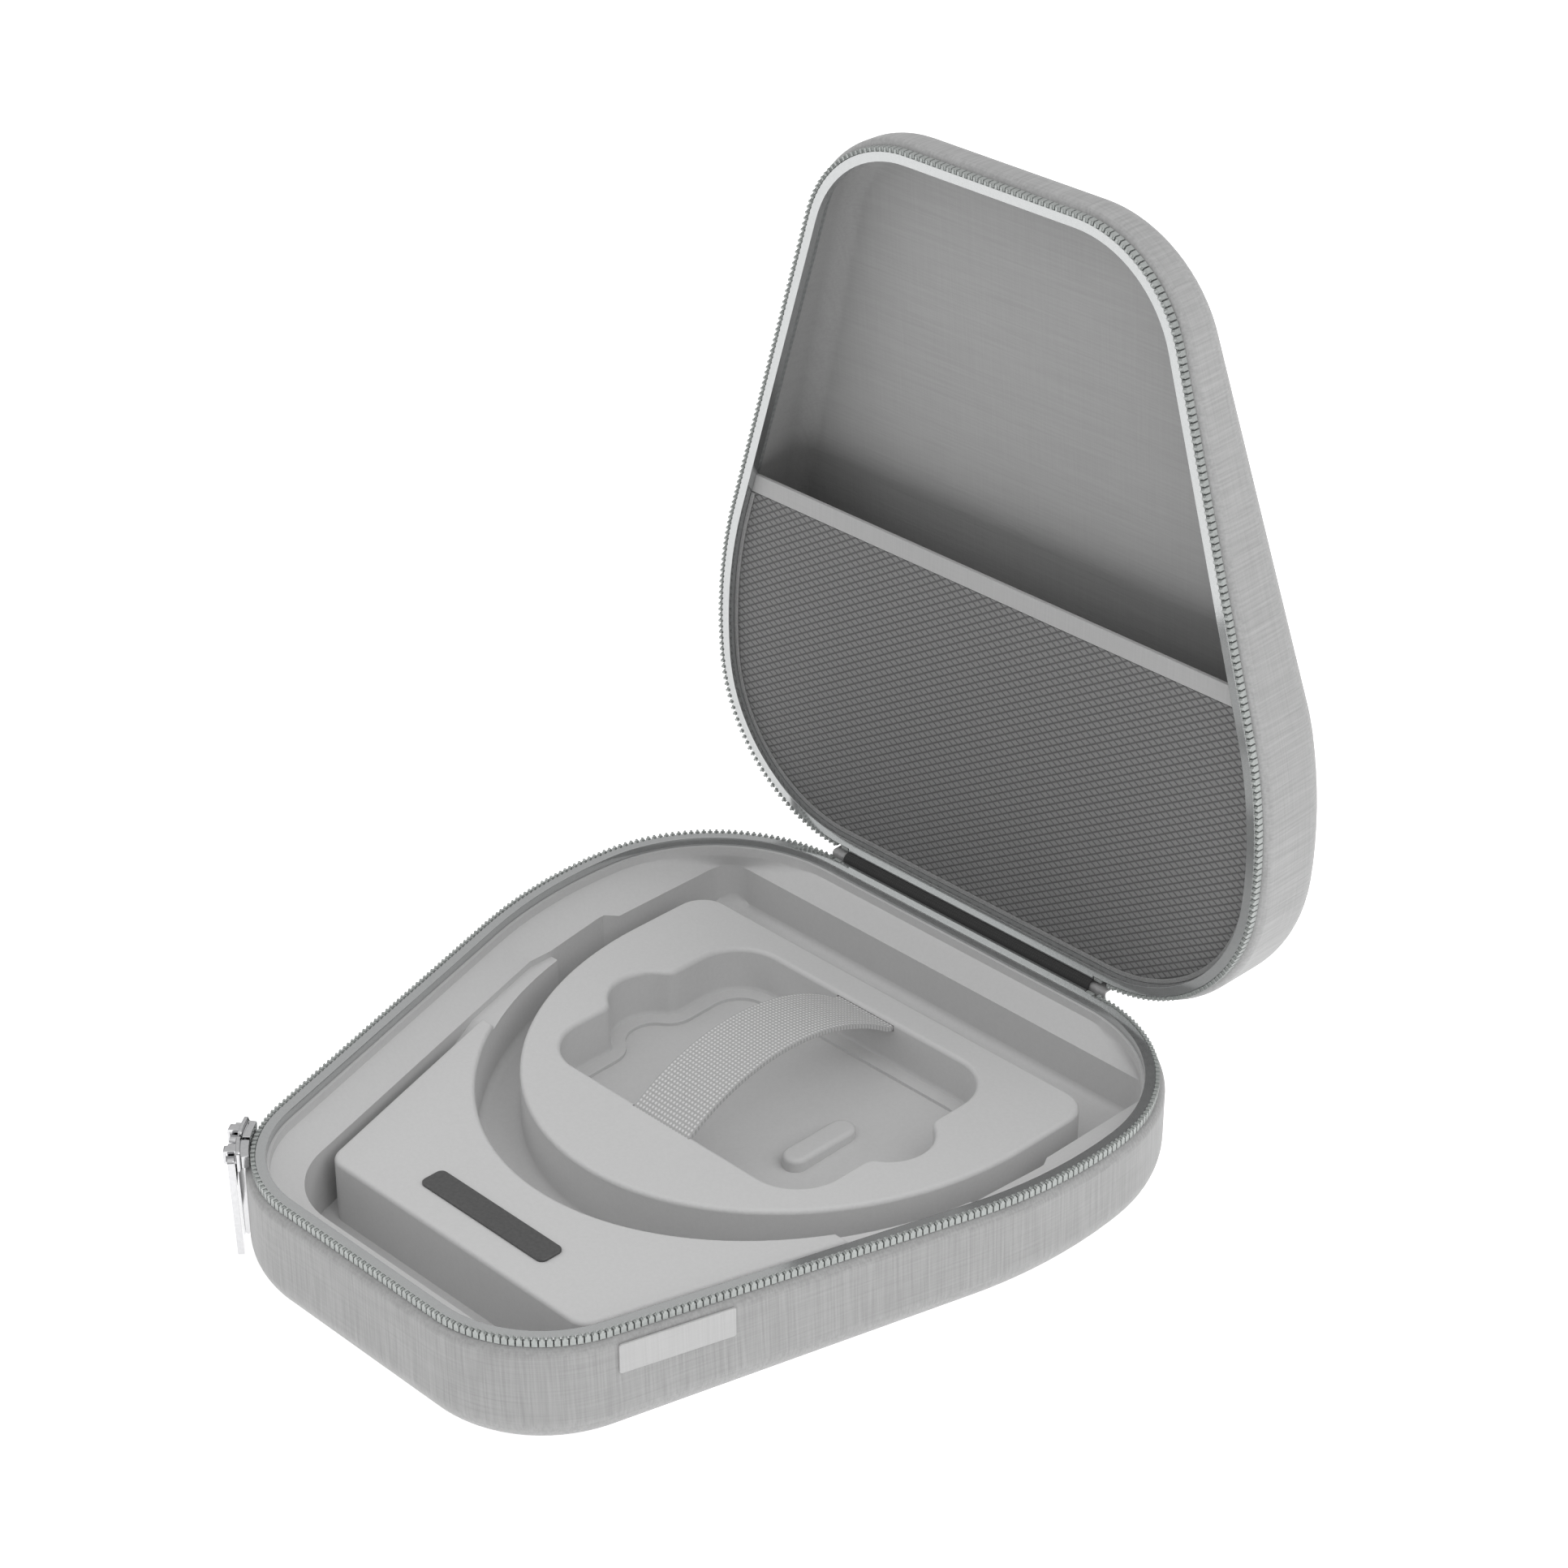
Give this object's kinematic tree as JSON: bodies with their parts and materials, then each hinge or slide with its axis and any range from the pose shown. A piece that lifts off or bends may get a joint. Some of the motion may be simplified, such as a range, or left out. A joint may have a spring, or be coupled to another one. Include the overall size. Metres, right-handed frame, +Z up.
{
  "type": "headphone carrying case",
  "caption": "Zipped hard-shell headphone carrying case standing open at a right angle, with a moulded tray, an elastic strap in the base and a mesh pocket in the lid.",
  "frame": {"origin": "middle of the level underside of the base, on the plane of symmetry", "axes": "+X to the right along the hinge, +Y from the front to the hinge, +Z up"},
  "size_m": [0.2288, 0.285, 0.2812],
  "materials": {
    "cover_textile": "brushed linen-look textile",
    "shell_foam": "matt foam board",
    "lining_textile": "fine knitted lining",
    "rim_band": "mirror-gloss band",
    "zip_tape": "woven tape",
    "zip_teeth": "satin moulded teeth",
    "hinge_fabric": "dark woven tape",
    "tray": "satin flocked moulding",
    "badge": "satin",
    "strap_webbing": "woven elastic",
    "label": "matt",
    "mesh": "open mesh",
    "elastic_band": "ribbed elastic",
    "zip_metal": "polished"
  },
  "bodies": {
    "base": {"base_cover": "cover_textile", "base_shell": "shell_foam", "base_lining": "lining_textile", "base_rim": "rim_band", "base_zip_tape": "zip_tape", "base_zip_teeth": "zip_teeth", "base_zip_stops": "zip_teeth", "hinge_tape_base": "hinge_fabric", "hinge_spine_base": "hinge_fabric", "insert_tray": "tray", "tray_badge": "badge", "elastic_strap": "strap_webbing", "strap_anchors": "hinge_fabric", "side_label": "label"},
    "lid": {"lid_cover": "cover_textile", "lid_shell": "shell_foam", "lid_lining": "lining_textile", "lid_rim": "rim_band", "lid_zip_tape": "zip_tape", "lid_zip_teeth": "zip_teeth", "lid_zip_stops": "zip_teeth", "hinge_tape_lid": "hinge_fabric", "hinge_spine_lid": "hinge_fabric", "mesh_pocket": "mesh", "pocket_band": "elastic_band", "pocket_binding": "mesh"},
    "slider_rear_body": {"slider_rear": "zip_metal", "slider_bridge_rear": "zip_metal"},
    "slider_front_body": {"slider_front": "zip_metal", "slider_bridge_front": "zip_metal"},
    "pull_rear_body": {"pull_rear": "zip_metal"},
    "pull_front_body": {"pull_front": "zip_metal"}
  },
  "joints": [
    {"name": "lid_hinge", "type": "hinge", "parent": "base", "child": "lid", "pos_m": [0, 0.12616, 0.03142], "axis": [-1, 0, 0], "range_deg": [-90, 80]},
    {"name": "slider_rear_run", "type": "hinge", "parent": "base", "child": "slider_rear_body", "pos_m": [-0.033, -0.07995, 0.03737], "axis": [0, 0.0288, 0.9996], "range_deg": [-20.6, 0]},
    {"name": "slider_front_run", "type": "hinge", "parent": "base", "child": "slider_front_body", "pos_m": [-0.033, -0.07995, 0.03737], "axis": [0, 0.0288, 0.9996], "range_deg": [0, 39.4]},
    {"name": "pull_rear_swing", "type": "hinge", "parent": "slider_rear_body", "child": "pull_rear_body", "pos_m": [-0.07043, -0.10919, 0.03822], "axis": [-0.6157, 0.788, 0], "range_deg": [-1.5, 120]},
    {"name": "pull_front_swing", "type": "hinge", "parent": "slider_front_body", "child": "pull_front_body", "pos_m": [-0.06315, -0.11665, 0.03843], "axis": [-0.7728, 0.6347, 0], "range_deg": [-1.5, 120]}
  ]
}
